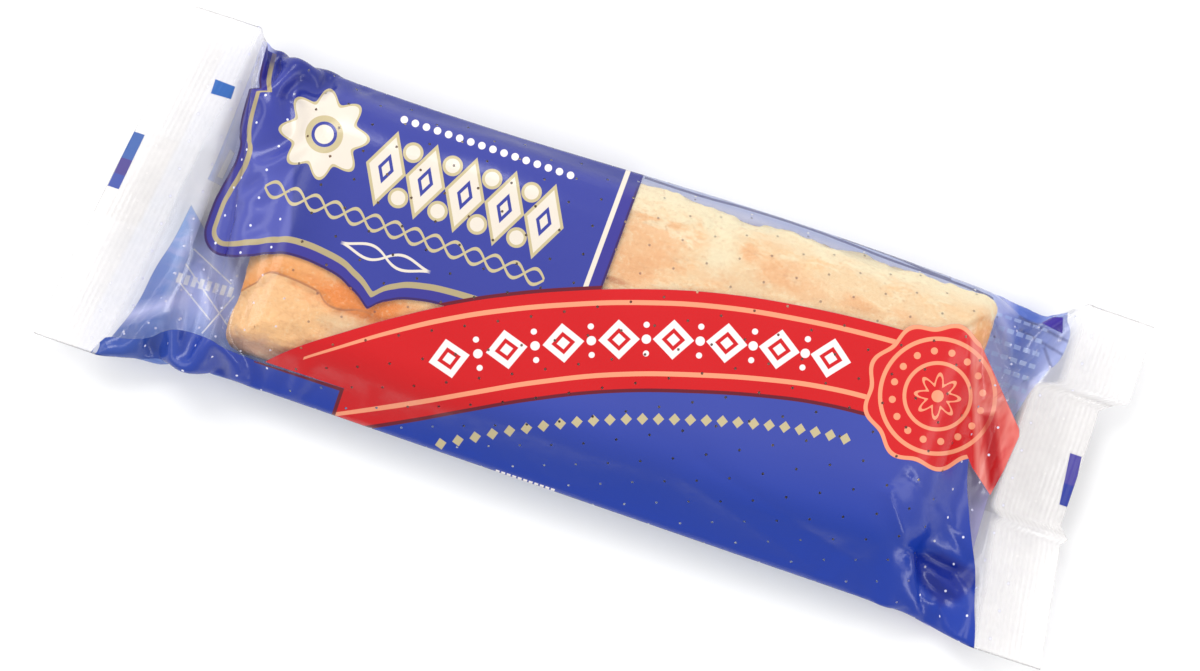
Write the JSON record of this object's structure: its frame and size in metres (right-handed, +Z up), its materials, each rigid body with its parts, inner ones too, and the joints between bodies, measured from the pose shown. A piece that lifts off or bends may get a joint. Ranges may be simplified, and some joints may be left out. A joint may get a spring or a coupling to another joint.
{
  "type": "wrapped sausage roll",
  "caption": "Baked sausage roll in a printed flow-wrap film pack with crimped clear ends and a folded seam flap underneath.",
  "frame": {"origin": "middle of the pack's footprint, on the surface that the pack lies on", "axes": "+X along the pack towards the end whose cut edge is drawn in by the folded flap, +Y across it to the side at the top of the front print, +Z up through the printed front"},
  "size_m": [0.2278, 0.0776, 0.0236],
  "materials": {
    "printed_film": "thin clear film printed in blue, red and gold, glossy, with clear windows and crimped ends",
    "pastry": null
  },
  "bodies": {
    "root": {"wrapped_roll": "printed_film"}
  },
  "joints": []
}
